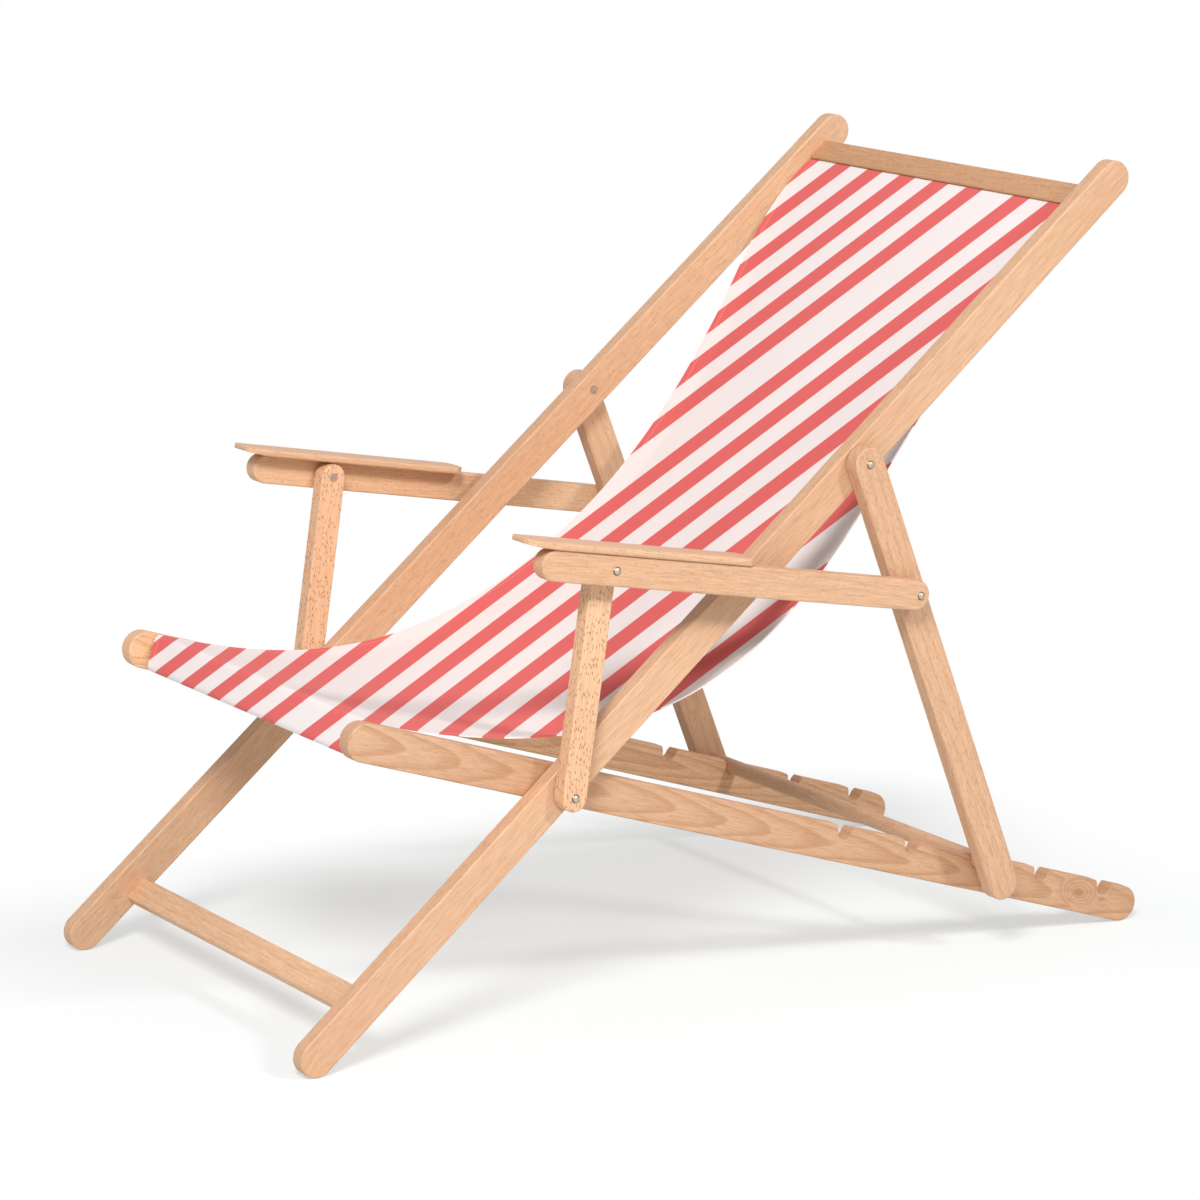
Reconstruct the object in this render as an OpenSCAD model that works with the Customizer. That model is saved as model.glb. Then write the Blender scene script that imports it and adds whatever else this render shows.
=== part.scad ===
// Folding deck chair with armrests: two pinned wooden frames, a prop in notches, a hung cloth.
// The sitter faces -Y, +Z is up and +X is the sitter's left hand.
// Side views are drawn as (y, z) measured from the pin where the two frames cross.

/* [Timber] */
// Thickness of the side timbers
timber_t = 19; // [16:0.5:22]
// Depth of the back rails
back_depth = 40; // [34:1:46]
// Depth of the notched seat rails
seat_depth = 41; // [36:1:46]
// Depth of the prop struts
strut_depth = 38; // [32:1:42]
// Depth of the arm posts
post_depth = 30; // [24:1:34]
// Depth of the rails under the armrests
arm_depth = 33; // [31:1:38]
// Radius of the eased edges
ease_r = 2; // [1:0.5:3]
// Clear width between the two seat rails
inner_w = 462; // [420:2:500]

/* [Back frame] */
// Slope of the back rails above the floor
back_angle = 40; // [36:1:44]
// Crossing pin to the centre of the rounded foot
foot_reach = 381; // [360:1:400]
// Crossing pin to the centre of the rounded top end
top_reach = 935; // [900:1:960]
// Crossing pin to the prop pin
prop_reach = 490; // [470:1:500]
// Distance of the crossing pin below the centre line of the back rail
back_pin_drop = 6; // [3:0.5:8]
// Width of the top rail and of the foot stretcher
cross_w = 30; // [26:1:34]
// Thickness of the top rail and of the foot stretcher
cross_t = 13; // [11:0.5:16]
// Crossing pin to the lower edge of the top rail
top_rail_at = 888; // [860:1:900]
// Crossing pin to the lower edge of the foot stretcher, down the rail
stretcher_at = 320; // [305:1:335]

/* [Seat frame] */
// Crossing pin to the centre of the rounded front end
seat_front = 243; // [235:1:255]
// Crossing pin to the centre of the rounded rear end
seat_rear = 817; // [800:1:850]
// Distance of the crossing pin below the centre line of the seat rail
seat_pin_drop = 7; // [3:0.5:9]
// Crossing pin to the centre of the front bar
front_bar_at = 226; // [215:1:232]
// Height of the front bar
front_bar_h = 38; // [32:1:40]
// Thickness of the front bar
front_bar_t = 18; // [14:1:22]
// Crossing pin to the first notch
first_notch = 392; // [380:1:400]
// Distance from notch to notch
notch_pitch = 97.5; // [90:0.5:100]
// How many notches each seat rail has
notch_count = 5; // [3:1:5]
// Width of a notch at the top edge of the rail
notch_mouth = 24.5; // [22:0.5:28]

/* [Prop and arms] */
// Radius of the round crossbar that drops into the notches
crossbar_r = 9; // [7:0.5:10]
// Notch that holds the crossbar, counted from the front
prop_notch_count = 3; // [3:1:3]
// How far the crossbar stands out of the top edge of the seat rail
crossbar_proud = 3.5; // [2:0.5:5]
// Length of each strut past the middle of the crossbar, to the centre of its round end
strut_tail = 21; // [18:1:24]
// Height of the armrest pivot above the crossing pin
arm_pin_z = 243; // [235:1:250]
// Distance of the armrest pivot behind the crossing pin
arm_pin_y = 33; // [25:1:45]
// Prop pin to the pin that carries the rear of the arm rail
arm_pin_down = 156; // [150:1:160]
// Distance of that pin in front of the centre line of the strut
arm_pin_fore = 3; // [0:0.5:5]
// Length of the arm rail in front of its pivot, to the centre of its round end
arm_fore = 76; // [70:1:85]
// How far the centre of its round rear end stands in front of the rear pin
arm_tail = 5; // [0:0.5:8]
// Length of the armrest board
board_l = 291; // [270:1:310]
// Length of the armrest board in front of the pivot
board_fore = 115; // [105:1:125]
// Width of the armrest board
board_w = 42; // [38:0.5:42]
// Thickness of the armrest board
board_t = 8.5; // [8:0.5:12]
// How far the board stands out past the arm rail
board_lip = 3; // [0:0.5:4]

/* [Cloth] */
// Thickness of the cloth with its hems
cloth_t = 2; // [1.5:0.5:3]
// Gap between the cloth and each seat rail
cloth_side_gap = 2; // [1.5:0.5:6]

/* [Pins and fits] */
// Radius of the pin shanks
pin_r = 3; // [2.5:0.5:4]
// Radius of the domed pin heads and of the flush pin ends
pin_head_r = 4.8; // [4:0.2:6]
// Height of the domed pin heads
pin_head_h = 2.4; // [1.5:0.1:2.4]
// Radius of the spacer washers
washer_r = 8; // [6:0.5:10]
// Spacer washer between two flat timbers
washer_t = 1; // [0.8:0.1:1.5]
// Spacer washer inside the arm rails, which clears the prop pin heads
arm_washer_t = 3; // [3:0.1:4]
// Radial running clearance of the pins
pin_gap = 0.05; // [0.02:0.01:0.1]
// Clearance of a washer between its timbers
face_gap = 0.1; // [0.05:0.05:0.3]
// Clearance round the crossbar in its notch
notch_gap = 0.35; // [0.3:0.05:1]
// Clearance round the tenons
tenon_gap = 0.1; // [0.05:0.05:0.3]
// Length of the stub tenons
tenon_l = 12; // [8:1:15]

/* [Hidden] */
$fn = 64;

wood = [0.91, 0.72, 0.55];
wood_shade = [0.86, 0.67, 0.5];
steel = [0.75, 0.75, 0.76];
cloth_red = [0.91, 0.43, 0.42];

// Layers from the middle of the chair outwards: seat rail, back rail, post and strut, arm rail
layer_gap = washer_t + 2 * face_gap;
arm_layer_gap = arm_washer_t + 2 * face_gap;
x_seat = inner_w / 2;
x_back = x_seat + timber_t + layer_gap;
x_strut = x_back + timber_t + layer_gap;
x_arm = x_strut + timber_t + arm_layer_gap;

function along(a) = [cos(a), sin(a)];
function across(a) = [-sin(a), cos(a)];
function mix(p, q, t) = (1 - t) * p + t * q;

// Height of the crossing pin, with the rounded feet on the floor
pin_z = foot_reach * sin(back_angle) - back_pin_drop * cos(back_angle) + back_depth / 2;
// Slope of the seat rails that puts their rounded rear ends on the same floor
seat_angle = -asin((pin_z - seat_depth / 2) / norm([seat_rear, seat_pin_drop]))
    - atan2(seat_pin_drop, seat_rear);

back_line = back_pin_drop * across(back_angle);
seat_line = seat_pin_drop * across(seat_angle);
foot_c = back_line - foot_reach * along(back_angle);
seat_front_c = seat_line - seat_front * along(seat_angle);
seat_rear_c = seat_line + seat_rear * along(seat_angle);
prop_pin = back_line + prop_reach * along(back_angle);

notch_up = seat_depth / 2 + crossbar_proud - crossbar_r;
crossbar_c = seat_line + (first_notch + (prop_notch_count - 1) * notch_pitch) * along(seat_angle)
    + notch_up * across(seat_angle);
strut_angle = atan2(crossbar_c[1] - prop_pin[1], crossbar_c[0] - prop_pin[0]);
crossbar_reach = norm(crossbar_c - prop_pin);
arm_pin = [arm_pin_y, arm_pin_z];
arm_rear_pin = prop_pin + arm_pin_down * along(strut_angle) - arm_pin_fore * across(strut_angle);
post_angle = atan2(arm_pin[1], arm_pin[0]);
arm_angle = atan2(arm_rear_pin[1] - arm_pin[1], arm_rear_pin[0] - arm_pin[0]);
arm_l = norm(arm_rear_pin - arm_pin);

// The origin is on the floor, under the middle of the chair's whole outline
y_front = foot_c[0] - back_depth / 2;
y_rear = seat_rear_c[0] + seat_depth / 2;
y_pin = -(y_front + y_rear) / 2;

bore_r = pin_r + pin_gap;
recess_r = pin_head_r + 0.3;
recess_h = 1.6;
dowel_r = 4;
dowel_l = 20;
dowel_in_board = 5;
dowel_places = [-55, 120];
notch_r = crossbar_r + notch_gap;
crossbar_tenon_r = 7;
crossbar_tenon_l = 14;
top_rail_face = 8;
stretcher_face = 0;
cross_tenon_w = 20;
cross_tenon_t = 7;
front_tenon_h = 24;
front_tenon_t = 10;
front_bar_ease = 5;
tack_count = 10;
tack_head_r = 3.5;
tack_head_h = 1;
tack_r = 0.8;
tack_l = 9;
tack_up = 17;
tack_margin = 20;
nose_r = 2.8;
nose_l = 46;
nose_rise = 1;
nose_steps = 8;
board_corner = 14;
board_ease = 3;
cut = 1;

// Puts a side drawing in its place: its x is the chair's Y, its y is Z, its z is X
module side(x, p, a = 0)
    translate([x, y_pin + p[0], pin_z + p[1]]) rotate([90, 0, 90]) rotate(a) children();

// Draws the left side as it stands, or the right side as its mirror image
module on(left) if (left) children(); else mirror([1, 0, 0]) children();

module both() { children(); mirror([1, 0, 0]) children(); }

module rounded_rect(w, h, r) {
    square([w, h - 2 * r], center = true);
    square([w - 2 * r, h], center = true);
    for (x = [-1, 1], y = [-1, 1]) translate([x * (w / 2 - r), y * (h / 2 - r)]) circle(r, $fn = 24);
}

// A timber with eased edges and fully rounded ends, its end centres len apart on the x axis
module timber(len, depth) {
    rotate([90, 0, 90]) linear_extrude(len) rounded_rect(depth, timber_t, ease_r);
    for (x = [0, len]) translate([x, 0, 0]) rotate_extrude() intersection() {
        rounded_rect(depth, timber_t, ease_r);
        translate([0, -timber_t / 2]) square([depth / 2, timber_t]);
    }
}

// A pin hole through a timber, with a recess in its inner face for a flush pin end
module pin_bore(recessed) {
    cylinder(h = timber_t + 2 * cut, r = bore_r, center = true);
    if (recessed) translate([0, 0, -timber_t / 2 - cut]) cylinder(h = recess_h + cut, r = recess_r);
}

module tenon(w, h, l) translate([-w / 2, -h / 2, 0]) cube([w, h, l]);

module back_rail() color(wood) difference() {
    side(x_back + timber_t / 2, foot_c, back_angle) timber(foot_reach + top_reach, back_depth);
    side(x_back + timber_t / 2, [0, 0]) pin_bore(false);
    side(x_back + timber_t / 2, prop_pin) pin_bore(true);
    for (c = [top_rail_c(), stretcher_c()]) side(x_back - cut, c, back_angle)
        tenon(cross_tenon_w + 2 * tenon_gap, cross_tenon_t + 2 * tenon_gap, tenon_l + cut + tenon_gap);
}

function top_rail_c() = (top_rail_at + cross_w / 2) * along(back_angle)
    + (top_rail_face - cross_t / 2) * across(back_angle);
function stretcher_c() = (cross_w / 2 - stretcher_at) * along(back_angle)
    + (stretcher_face - cross_t / 2) * across(back_angle);

// A board between the back rails with a stub tenon at each end
module cross_board(c) {
    side(-x_back, c, back_angle) linear_extrude(2 * x_back) rounded_rect(cross_w, cross_t, ease_r);
    side(-x_back - tenon_l, c, back_angle) tenon(cross_tenon_w, cross_tenon_t, 2 * (x_back + tenon_l));
}

module top_rail() color(wood) cross_board(top_rail_c());

module foot_stretcher() color(wood) cross_board(stretcher_c());

function notch_c(n) = (first_notch + n * notch_pitch) * along(seat_angle) + seat_line
    + notch_up * across(seat_angle);

// One U-shaped notch that widens towards the top edge of the rail
module notch() {
    rise = seat_depth / 2 - notch_up;
    cylinder(h = timber_t + 2 * cut, r = notch_r, center = true);
    translate([0, 0, -timber_t / 2 - cut]) linear_extrude(timber_t + 2 * cut) polygon([
        [-notch_r, 0], [notch_r, 0], [notch_mouth / 2, rise], [notch_mouth / 2, rise + cut],
        [-notch_mouth / 2, rise + cut], [-notch_mouth / 2, rise]
    ]);
}

module seat_rail() color(wood) difference() {
    side(x_seat + timber_t / 2, seat_front_c, seat_angle) timber(seat_front + seat_rear, seat_depth);
    side(x_seat + timber_t / 2, [0, 0]) pin_bore(true);
    for (n = [0 : notch_count - 1]) side(x_seat + timber_t / 2, notch_c(n), seat_angle) notch();
    side(x_seat - cut, front_bar_c(), seat_angle)
        tenon(front_tenon_t + 2 * tenon_gap, front_tenon_h + 2 * tenon_gap, tenon_l + cut + tenon_gap);
}

function front_bar_c() = seat_line - front_bar_at * along(seat_angle);

module seat_front_bar() color(wood_shade) {
    side(-x_seat, front_bar_c(), seat_angle) linear_extrude(2 * x_seat)
        rounded_rect(front_bar_t, front_bar_h, front_bar_ease);
    side(-x_seat - tenon_l, front_bar_c(), seat_angle)
        tenon(front_tenon_t, front_tenon_h, 2 * (x_seat + tenon_l));
}

module prop_strut() color(wood) difference() {
    side(x_strut + timber_t / 2, prop_pin, strut_angle) timber(crossbar_reach + strut_tail, strut_depth);
    side(x_strut + timber_t / 2, prop_pin) pin_bore(false);
    side(x_strut + timber_t / 2, arm_rear_pin) pin_bore(true);
    side(x_strut - cut, crossbar_c)
        cylinder(h = crossbar_tenon_l + cut + tenon_gap, r = crossbar_tenon_r + pin_gap);
}

module prop_crossbar() color(wood) {
    side(-x_strut, crossbar_c) cylinder(h = 2 * x_strut, r = crossbar_r);
    side(-x_strut - crossbar_tenon_l, crossbar_c)
        cylinder(h = 2 * (x_strut + crossbar_tenon_l), r = crossbar_tenon_r);
}

module arm_post() color(wood) difference() {
    side(x_strut + timber_t / 2, [0, 0], post_angle) timber(norm(arm_pin), post_depth);
    side(x_strut + timber_t / 2, [0, 0]) pin_bore(false);
    side(x_strut + timber_t / 2, arm_pin) pin_bore(true);
}

module arm_rail() color(wood) difference() {
    side(x_arm + timber_t / 2, arm_pin - arm_fore * along(arm_angle), arm_angle)
        timber(arm_fore + arm_l - arm_tail, arm_depth);
    side(x_arm + timber_t / 2, arm_pin) pin_bore(false);
    side(x_arm + timber_t / 2, arm_rear_pin) pin_bore(false);
    dowels(tenon_gap, pin_gap);
}

// Hidden dowels that fix an armrest board to the rail under it
module dowels(extra_l = 0, extra_r = 0) for (d = dowel_places)
    side(x_arm + timber_t / 2, arm_pin + d * along(arm_angle), arm_angle)
        translate([0, arm_depth / 2 + dowel_in_board + extra_l, 0]) rotate([90, 0, 0])
            cylinder(h = dowel_l + 2 * extra_l, r = dowel_r + extra_r);

// Side view of the board: its underside thins towards a round nose
module board_profile() {
    nose_c = [nose_r, board_t - nose_r];
    polygon(concat(
        [for (i = [0 : nose_steps]) nose_c + nose_r * along(90 + 180 * i / nose_steps)],
        [[nose_l / 2, nose_rise], [nose_l, 0], [board_l, 0], [board_l, board_t]]
    ));
}

// Top view of the board, with round corners
module board_plan() {
    translate([board_l / 2, 0]) rounded_rect(board_l, board_w, board_corner);
}

module armrest() color(wood) difference() {
    translate([x_arm + timber_t + board_lip - board_w / 2, 0, 0])
        side(0, arm_pin - board_fore * along(arm_angle) + arm_depth / 2 * across(arm_angle), arm_angle)
            intersection() {
                translate([0, 0, -board_w / 2]) linear_extrude(board_w) board_profile();
                rotate([-90, 0, 0]) translate([0, 0, -cut]) linear_extrude(board_t + 2 * cut) board_plan();
                translate([-cut, board_t / 2, 0]) rotate([90, 0, 90]) linear_extrude(board_l + 2 * cut)
                    rounded_rect(board_t, board_w, board_ease);
            }
    dowels(tenon_gap, pin_gap);
}

module armrest_dowels() color(wood_shade) both() dowels();

// A pin from its flush inner end at x0 to the timber face at x1, where its domed head sits
module pin(p, x0, x1, ended, headed) {
    dome_r = (pin_head_r * pin_head_r + pin_head_h * pin_head_h) / (2 * pin_head_h);
    side(x0, p) cylinder(h = x1 - x0, r = pin_r);
    if (ended) side(x0, p) difference() {
        cylinder(h = recess_h - face_gap, r = pin_head_r);
        translate([0, 0, -cut]) cylinder(h = cut + recess_h / 2, r = pin_r / 2);
    }
    if (headed) side(x1, p) rotate_extrude() intersection() {
        translate([0, pin_head_h - dome_r]) circle(dome_r);
        square([pin_head_r, pin_head_h]);
    }
}

module washer(p, x, t) side(x + face_gap, p) difference() {
    cylinder(h = t, r = washer_r);
    translate([0, 0, -cut]) cylinder(h = t + 2 * cut, r = bore_r);
}

module frame_pins() color(steel) both() pin([0, 0], x_seat, x_strut + timber_t, true, true);

module frame_washers() color(steel) both() {
    washer([0, 0], x_seat + timber_t, washer_t);
    washer([0, 0], x_back + timber_t, washer_t);
}

module prop_pins() color(steel) both() pin(prop_pin, x_back, x_strut + timber_t, true, true);

module prop_washers() color(steel) both() washer(prop_pin, x_back + timber_t, washer_t);

module arm_post_pins() color(steel) both() pin(arm_pin, x_strut, x_arm + timber_t, true, true);

module arm_post_washers() color(steel) both() washer(arm_pin, x_strut + timber_t, arm_washer_t);

// The rear pin of each arm is drawn in two parts, which meet where the arm leaves the strut
module arm_prop_pins() color(steel) both()
    pin(arm_rear_pin, x_strut + timber_t + face_gap, x_arm + timber_t, false, true);

module arm_prop_washers() color(steel) both() washer(arm_rear_pin, x_strut + timber_t, arm_washer_t);

module arm_prop_pin_ends() color(steel) both() pin(arm_rear_pin, x_strut, x_strut + timber_t, true, false);

// Middle line of the cloth in side view: tacked behind the top rail, hung in a slack curve,
// then round the front bar and back to itself
cloth_gap = 0.3;
cloth_off = cloth_t / 2 + cloth_gap;
sag_start = top_rail_c() + turn([-cross_w / 2 - cloth_off, cross_t / 2 - ease_r], back_angle);
sag_rear = [489, 438];
sag_fore = [363, -99];
sag_end = front_bar_c() + turn([front_bar_t / 2 - front_bar_ease, front_bar_h / 2 + cloth_off], seat_angle);
sag_steps = 28;
arc_steps = 5;

function turn(p, a) = p[0] * along(a) + p[1] * across(a);
function arc(c, r, a0, a1) = [for (i = [0 : arc_steps]) c + r * along(mix(a0, a1, i / arc_steps))];
function sag(t) = mix(
    mix(mix(sag_start, sag_rear, t), mix(sag_rear, sag_fore, t), t),
    mix(mix(sag_rear, sag_fore, t), mix(sag_fore, sag_end, t), t), t);

// Corners of a rounded bar, each followed round at the cloth's distance
function corner(c, w, h, r, sx, sy, a) = c + turn([sx * (w / 2 - r), sy * (h / 2 - r)], a);
wrap_r = front_bar_ease + cloth_off;
edge_r = ease_r + cloth_off;
top_hem = concat(
    [top_rail_c() + turn([cross_w / 2 - ease_r, -cross_t / 2 - cloth_off], back_angle)],
    arc(corner(top_rail_c(), cross_w, cross_t, ease_r, -1, -1, back_angle), edge_r,
        back_angle - 90, back_angle - 180),
    [sag_start]
);
front_wrap = concat(
    arc(corner(front_bar_c(), front_bar_t, front_bar_h, front_bar_ease, -1, 1, seat_angle), wrap_r,
        seat_angle + 90, seat_angle + 180),
    arc(corner(front_bar_c(), front_bar_t, front_bar_h, front_bar_ease, -1, -1, seat_angle), wrap_r,
        seat_angle + 180, seat_angle + 270),
    arc(corner(front_bar_c(), front_bar_t, front_bar_h, front_bar_ease, 1, -1, seat_angle), wrap_r,
        seat_angle + 270, seat_angle + 360),
    [front_bar_c() + turn([front_bar_t / 2 + cloth_off, front_bar_h / 2 - 2 * front_bar_ease], seat_angle)]
);
cloth_path = concat(top_hem, [for (i = [1 : sag_steps]) sag(i / sag_steps)], front_wrap);

// Left-hand side of a path at each of its points
function path_side(p, i) = let (
    last = len(p) - 1,
    d = p[min(i + 1, last)] - p[max(i - 1, 0)]
) [-d[1], d[0]] / norm(d);
function offset_path(p, d) = [for (i = [0 : len(p) - 1]) p[i] + d * path_side(p, i)];
function backwards(p) = [for (i = [len(p) - 1 : -1 : 0]) p[i]];

module sling() color(cloth_red) side(cloth_side_gap - x_seat, [0, 0])
    linear_extrude(2 * (x_seat - cloth_side_gap)) polygon(concat(
        offset_path(cloth_path, cloth_t / 2), backwards(offset_path(cloth_path, -cloth_t / 2))
    ));

// Tacks that hold the cloth to the rear face of the top rail
module sling_tacks() color(steel) {
    spread = 2 * (x_seat - cloth_side_gap - tack_margin);
    cloth_back = -cross_t / 2 - cloth_off - cloth_t / 2;
    place = top_rail_c() + turn([tack_up - cross_w / 2, cloth_back], back_angle);
    for (i = [0 : tack_count - 1])
        side(spread * (i / (tack_count - 1) - 0.5), place, back_angle)
            rotate([-90, 0, 0]) {
                translate([0, 0, -tack_head_h]) cylinder(h = tack_head_h, r = tack_head_r, $fn = 24);
                cylinder(h = tack_l, r = tack_r, $fn = 16);
            }
}

on(true) back_rail();  // back_rail_left
on(false) back_rail();  // back_rail_right
top_rail();
foot_stretcher();
on(true) seat_rail();  // seat_rail_left
on(false) seat_rail();  // seat_rail_right
seat_front_bar();
on(true) prop_strut();  // prop_strut_left
on(false) prop_strut();  // prop_strut_right
prop_crossbar();
on(true) arm_post();  // arm_post_left
on(false) arm_post();  // arm_post_right
on(true) arm_rail();  // arm_rail_left
on(false) arm_rail();  // arm_rail_right
on(true) armrest();  // armrest_left
on(false) armrest();  // armrest_right
armrest_dowels();
sling();
sling_tacks();
frame_pins();
frame_washers();
prop_pins();
prop_washers();
arm_post_pins();
arm_post_washers();
arm_prop_pins();
arm_prop_washers();
arm_prop_pin_ends();
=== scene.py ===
import math

import bpy
from mathutils import Matrix, Vector, noise


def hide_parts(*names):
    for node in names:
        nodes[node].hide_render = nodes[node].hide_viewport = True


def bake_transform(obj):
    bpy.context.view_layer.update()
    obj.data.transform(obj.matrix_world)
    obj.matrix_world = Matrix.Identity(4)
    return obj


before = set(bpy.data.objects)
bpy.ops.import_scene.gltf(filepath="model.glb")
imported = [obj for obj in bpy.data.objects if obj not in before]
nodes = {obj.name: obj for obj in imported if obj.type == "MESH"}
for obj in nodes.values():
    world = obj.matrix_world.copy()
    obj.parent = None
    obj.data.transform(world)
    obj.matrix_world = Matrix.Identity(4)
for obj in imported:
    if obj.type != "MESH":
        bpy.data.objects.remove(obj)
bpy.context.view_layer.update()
print("frame loaded:", len(nodes), "pieces")


# Small helpers

def linearColour(hexCode):
    # sRGB hex to the linear values that sockets take
    def channel(c):
        return c / 12.92 if c <= 0.04045 else ((c + 0.055) / 1.055) ** 2.4
    code = hexCode.lstrip("#")
    return [channel(int(code[i:i + 2], 16) / 255) for i in (0, 2, 4)] + [1.0]


def addNode(tree, kind, place, settings=None, inputs=None, stops=()):
    # one node with its settings, its values and incoming links, and a ramp's (place, hex) stops
    node = tree.nodes.new(kind)
    node.location = place
    for name, value in (settings or {}).items():
        setattr(node, name, value)
    for name, value in (inputs or {}).items():
        if isinstance(value, bpy.types.NodeSocket):
            tree.links.new(value, node.inputs[name])
        else:
            node.inputs[name].default_value = value
    for extra in stops[2:]:
        node.color_ramp.elements.new(0.5)
    for i, (at, hexCode) in enumerate(stops):
        node.color_ramp.elements[i].position = at
        node.color_ramp.elements[i].color = linearColour(hexCode)
    return node


def newMaterial(name):
    material = bpy.data.materials.new(name)
    material.use_nodes = True
    material.node_tree.nodes.clear()
    return material


def giveMaterial(obj, material):
    obj.data.materials.clear()
    obj.data.materials.append(material)


def along(angle):
    # a direction in the chair's side view, at an angle above the horizon; across is square to it
    return Vector((0, math.cos(math.radians(angle)), math.sin(math.radians(angle))))


def across(angle):
    return Vector((0, -math.sin(math.radians(angle)), math.cos(math.radians(angle))))


# Camera, at the place that was fitted to the photo

view = {
    "place": (4.035, -2.684, 1.4555),
    "azimuth": 56.61,
    "elevation": 12.4,
    "roll": 0.81,
    "lens": 133.2,
    "sensor": 36,
    "farthest": 50,
}


def placeCamera():
    azimuth, elevation, roll = (math.radians(view[key]) for key in ("azimuth", "elevation", "roll"))
    back = Vector((math.sin(azimuth) * math.cos(elevation), -math.cos(azimuth) * math.cos(elevation),
                   math.sin(elevation)))
    right = Vector((math.cos(azimuth), math.sin(azimuth), 0))
    up = back.cross(right)
    sideways = right * math.cos(roll) + up * math.sin(roll)
    upwards = up * math.cos(roll) - right * math.sin(roll)
    turn = Matrix((sideways, upwards, back)).transposed().to_4x4()
    data = bpy.data.cameras.new("photoCamera")
    data.sensor_width = view["sensor"]
    data.lens = view["lens"]
    data.clip_end = view["farthest"]
    camera = bpy.data.objects.new("photoCamera", data)
    camera.matrix_world = Matrix.Translation(view["place"]) @ turn
    bpy.context.scene.collection.objects.link(camera)
    bpy.context.scene.camera = camera


placeCamera()
print("camera placed")


# Beech, planed, with eased edges and a clear satin lacquer
# It gives a warm pale tan with soft growth lines, short dark flecks along the grain and a
# dull shine.

beech = {
    "light": "#DFB491",
    "dark": "#D6A885",
    "lateWood": "#BF8B63",
    "fleck": "#8E6141",
    "knot": "#A8693C",
    "betweenFibres": "#DDD2C8",
    "patches": (9, 2.2, 9),    # broad patches of tone a metre, in the timber's own directions
    "fleckAcross": 0.0030,     # m between flecks, across the grain
    "fleckAlong": 0.0085,      # m between flecks, along the grain
    "fleckEdge": (0.36, 0.2),  # of a fleck's room: where the dash starts, and where it is full
    "fibre": 0.0009,           # m, width of a fibre streak
    "fibreSlim": 0.035,        # its width over its length
    "fibreShow": 0.75,
    "knotShow": 0.6,
    "knotSwell": 0.014,        # m that the rings bulge round a knot
    "relief": 0.00015,         # m from a fleck's floor to the surface
    "reliefShow": 0.35,
    "roughness": (0.45, 0.61),
    "specular": 0.35,
    "coat": 0.1,
    "coatRoughness": 0.35,
}

# how a board is cut: where the pith lies from it, in m, and how its rings run. The rings are drawn
# wider than the 2 or 3 mm of real beech, to show.
quarterSawn = {"x": -0.19, "z": -0.085, "taper": 0.0, "wander": 0.05, "width": 0.0075}
flatSawn = {"x": 0.205, "z": 0.182, "taper": 0.045, "wander": 0.022, "width": 0.0036}


def growthRings(tree, grain, wander, pith, fromKnot):
    # white in the early wood and grey in the late: wandering rings round the pith, which lies at
    # (x, z) in the timber's own directions. They are cones where the board has a taper, and a pith
    # straight behind the face then gives the flame figure. The rings bulge round a knot.
    wanderNoise = addNode(tree, "ShaderNodeTexNoise", (-1000, 300), inputs={
        "Vector": wander, "Scale": 1.0, "Detail": 3.0, "Roughness": 0.45}).outputs[0]
    own = addNode(tree, "ShaderNodeSeparateXYZ", (-1400, 100), inputs={0: grain})
    mirrored = addNode(tree, "ShaderNodeMath", (-1300, 150), {"operation": "ABSOLUTE"},
                       {0: own.outputs[0]}).outputs[0]
    onSection = addNode(tree, "ShaderNodeCombineXYZ", (-1200, 100), inputs={
        0: mirrored, 2: own.outputs[2]}).outputs[0]
    radius = addNode(tree, "ShaderNodeVectorMath", (-1000, 100), {"operation": "DISTANCE"},
                     {0: onSection, 1: (pith["x"], 0, pith["z"])}).outputs["Value"]
    tapered = addNode(tree, "ShaderNodeMath", (-900, 100), {"operation": "MULTIPLY_ADD"},
                      {0: own.outputs[1], 1: pith["taper"], 2: radius}).outputs[0]
    ringPlace = addNode(tree, "ShaderNodeMath", (-800, 200), {"operation": "MULTIPLY_ADD"},
                        {0: wanderNoise, 1: pith["wander"], 2: tapered}).outputs[0]
    if fromKnot is not None:
        swell = addNode(tree, "ShaderNodeMapRange", (-600, -700), {
            "interpolation_type": "SMOOTHERSTEP"}, {
            "Value": fromKnot, "From Min": 3.0, "From Max": 0.0}).outputs[0]
        ringPlace = addNode(tree, "ShaderNodeMath", (-600, 200), {"operation": "MULTIPLY_ADD"},
                            {0: swell, 1: beech["knotSwell"], 2: ringPlace}).outputs[0]
    ringPhase = addNode(tree, "ShaderNodeMath", (-400, 200), {"operation": "DIVIDE"},
                        {0: ringPlace, 1: pith["width"]}).outputs[0]
    ringPart = addNode(tree, "ShaderNodeMath", (-250, 200), {"operation": "FRACT"},
                       {0: ringPhase}).outputs[0]
    return addNode(tree, "ShaderNodeValToRGB", (-100, 200), inputs={0: ringPart}, stops=[
        (0.0, "#FFFFFF"), (0.5, "#E4E4E4"), (0.82, "#7C7C7C"), (0.93, "#8C8C8C"),
        (1.0, "#FFFFFF")]).outputs[0]


def fibreStreaks(tree, place):
    # fine streaks along the grain, from 0 to 1
    finest = 1 / beech["fibre"]
    stretched = addNode(tree, "ShaderNodeVectorMath", (-1200, -100), {"operation": "MULTIPLY"}, {
        0: place, 1: (finest, beech["fibreSlim"] / beech["fibre"], finest)}).outputs[0]
    return addNode(tree, "ShaderNodeTexNoise", (-1000, -100), inputs={
        "Vector": stretched, "Scale": 1.0, "Detail": 2.0, "Roughness": 0.6}).outputs[0]


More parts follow.
